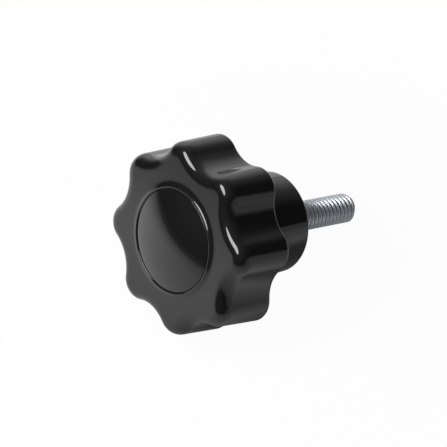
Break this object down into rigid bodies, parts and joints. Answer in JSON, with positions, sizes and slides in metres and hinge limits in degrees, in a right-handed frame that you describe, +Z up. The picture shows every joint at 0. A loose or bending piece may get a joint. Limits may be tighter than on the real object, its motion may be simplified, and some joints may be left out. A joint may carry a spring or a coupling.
{
  "type": "lobed clamping knob with threaded stud",
  "caption": "Round black clamping knob with a lobed grip, a tapered hub, a domed centre cap and a zinc-plated steel stud with a coarse thread.",
  "frame": {"origin": "centre of the hub's rear face, on the stud's axis, where the stud comes out", "axes": "+Z up in the resting pose, +X across the knob, +Y from the lobed head towards the stud's tip; the stud's axis lies in the YZ plane and slopes down by the resting angle"},
  "size_m": [0.0478, 0.0672, 0.0483],
  "materials": {
    "body": "glossy moulded black plastic",
    "cap": "glossy moulded black plastic",
    "stud": "zinc-plated steel, rolled thread"
  },
  "bodies": {
    "root": {"knob_body": "body", "front_cap": "cap", "threaded_stud": "stud"}
  },
  "joints": []
}
